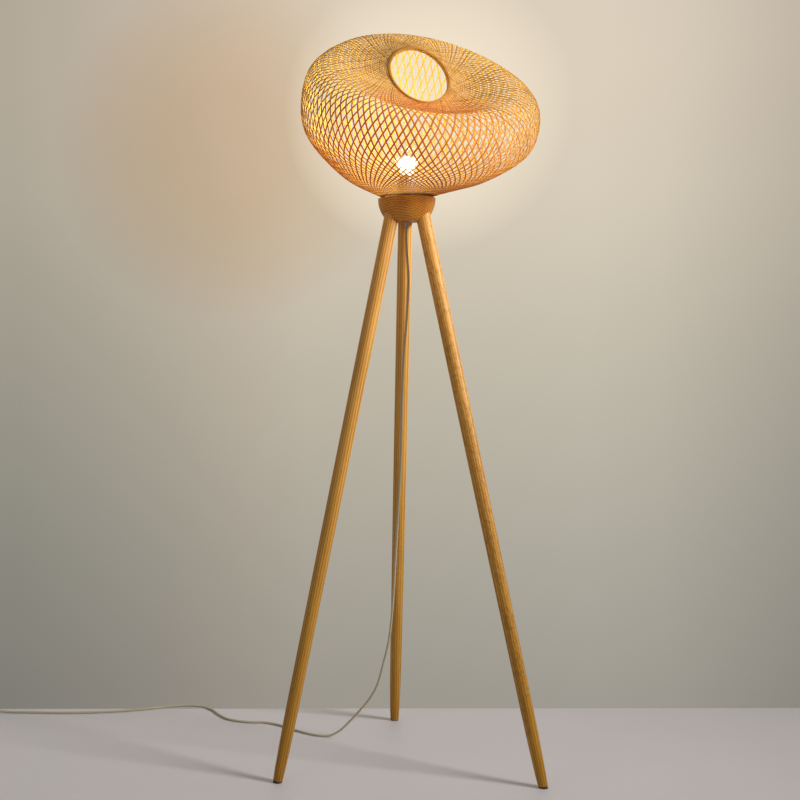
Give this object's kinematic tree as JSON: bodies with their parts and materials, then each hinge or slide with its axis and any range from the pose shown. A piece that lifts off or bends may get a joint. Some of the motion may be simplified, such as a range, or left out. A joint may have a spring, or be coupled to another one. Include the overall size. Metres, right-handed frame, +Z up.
{
  "type": "rattan floor lamp",
  "caption": "Tripod floor lamp: turned wooden legs in a ball hub, a bulbous tilted shade netted from split cane, and a corded foot switch.",
  "frame": {"origin": "on the floor, under the middle of the box round the lamp without its cord", "axes": "+Z up through the lamp; -Y towards the viewer, the side that the shade's mouth faces; +X to the viewer's right"},
  "size_m": [1.4101, 0.622, 1.5197],
  "materials": {
    "leg_wood": "satin oiled ash",
    "hub_wood": "satin oiled ash",
    "cane": "split cane strips",
    "cane_dark": "bent cane hoops",
    "foot_rubber": "matte",
    "steel": "zinc plated",
    "brass": "satin",
    "white_plastic": "satin",
    "black_plastic": "matte",
    "bulb_glass": "clear",
    "filament": "glowing",
    "cord_sheath": "matte"
  },
  "bodies": {
    "lamp": {"leg_right": "leg_wood", "leg_back": "leg_wood", "leg_left": "leg_wood", "hanger_bolt_right": "steel", "hanger_bolt_back": "steel", "hanger_bolt_left": "steel", "insert_nut_right": "brass", "insert_nut_back": "brass", "insert_nut_left": "brass", "foot_right": "foot_rubber", "foot_back": "foot_rubber", "foot_left": "foot_rubber", "hub": "hub_wood", "cord_gland": "cord_sheath", "carrier_plate": "steel", "carrier_screw_1": "brass", "carrier_screw_2": "brass", "carrier_screw_3": "brass", "hoop_pin_1": "brass", "hoop_pin_2": "brass", "hoop_pin_3": "brass", "threaded_nipple": "steel", "nipple_nut": "steel", "holder_base": "white_plastic", "holder_shell": "white_plastic", "holder_core": "white_plastic", "screw_shell": "brass", "centre_contact": "brass", "bulb_contact": "steel", "bulb_insulator": "black_plastic", "bulb_cap": "brass", "bulb_glass": "bulb_glass", "bulb_stem": "bulb_glass", "bulb_filaments": "filament", "net_outer_1": "cane", "net_outer_2": "cane", "net_outer_3": "cane", "net_inner_1": "cane", "net_inner_2": "cane", "net_inner_3": "cane", "neck_hoop_inner": "cane_dark", "neck_hoop_outer": "cane_dark", "mouth_hoop_inner": "cane_dark", "mouth_hoop_outer": "cane_dark", "cord_riser": "cord_sheath", "cord_run": "cord_sheath", "switch_base": "white_plastic", "switch_cover": "white_plastic", "switch_block": "black_plastic", "cord_link": "cord_sheath", "cord_coil": "cord_sheath", "cord_tie": "black_plastic", "cord_tail": "cord_sheath", "plug_body": "white_plastic", "plug_pin_left": "brass", "plug_pin_right": "brass"},
    "button": {"switch_button": "white_plastic"}
  },
  "joints": [
    {"name": "button_press", "type": "slide", "parent": "lamp", "child": "button", "axis": [0, 0, -1], "range_m": [0, 0.003], "stiffness_N_per_m": 1500}
  ]
}
